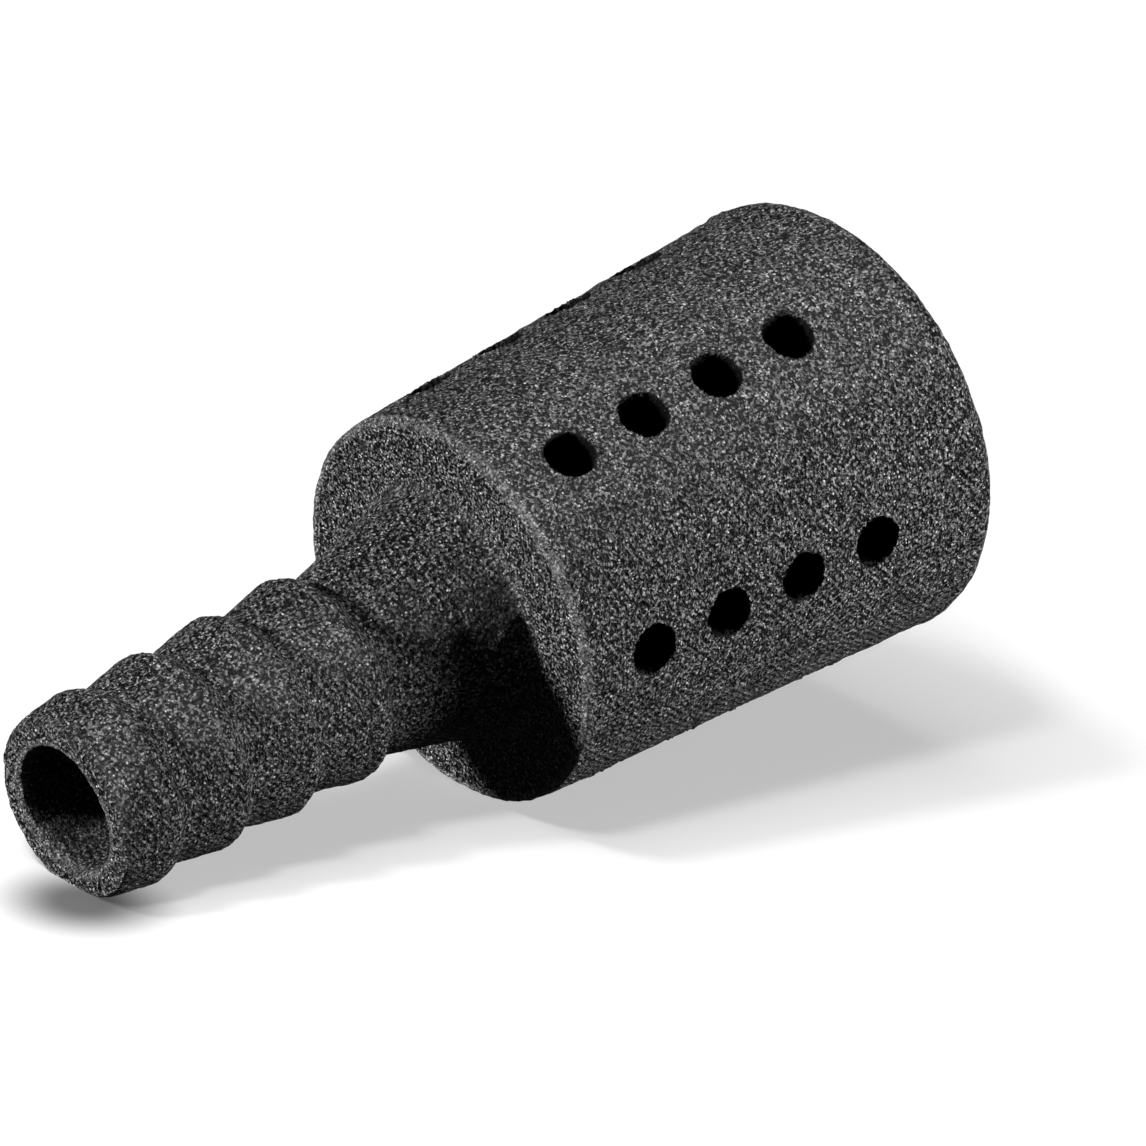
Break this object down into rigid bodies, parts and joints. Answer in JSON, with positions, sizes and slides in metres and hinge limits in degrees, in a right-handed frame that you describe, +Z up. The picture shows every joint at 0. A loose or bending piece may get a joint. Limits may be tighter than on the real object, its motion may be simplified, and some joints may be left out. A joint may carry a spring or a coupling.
{
  "type": "pneumatic muffler",
  "caption": "Black sintered-nylon exhaust muffler with a barbed hose tail, conical vented barrel, felt stack inside and a snap-ring end cap.",
  "frame": {"origin": "on the muffler's axis at the mouth of the hose tail, where the hose and the air enter", "axes": "+X along the axis from the hose tail's mouth towards the wide closed end; +Z up, midway between two of the six vent rows, so two rows point along +Y and -Y"},
  "size_m": [0.0216, 0.0096, 0.0096],
  "materials": {
    "sintered_nylon": "black laser-sintered nylon, coarse open grain with small pores",
    "cap_nylon": "black laser-sintered nylon, finer grain",
    "steel_mesh": "dark stainless steel screen",
    "core_aluminium": "drawn tube, plain",
    "felt": "pressed charcoal felt",
    "stainless_steel": "stamped, turned grain",
    "spring_steel": "blued spring steel",
    "ring_steel": "phosphated spring steel, dark grey"
  },
  "bodies": {
    "root": {"housing": "sintered_nylon", "inlet_screen": "steel_mesh", "core_tube": "core_aluminium", "core_plug": "cap_nylon", "vent_screen": "steel_mesh", "felt_ring_1": "felt", "felt_ring_2": "felt", "felt_ring_3": "felt", "felt_ring_4": "felt", "felt_ring_5": "felt", "felt_ring_6": "felt", "pressure_plate": "stainless_steel", "wave_spring": "spring_steel", "end_cap": "cap_nylon", "retaining_ring": "ring_steel"}
  },
  "joints": []
}
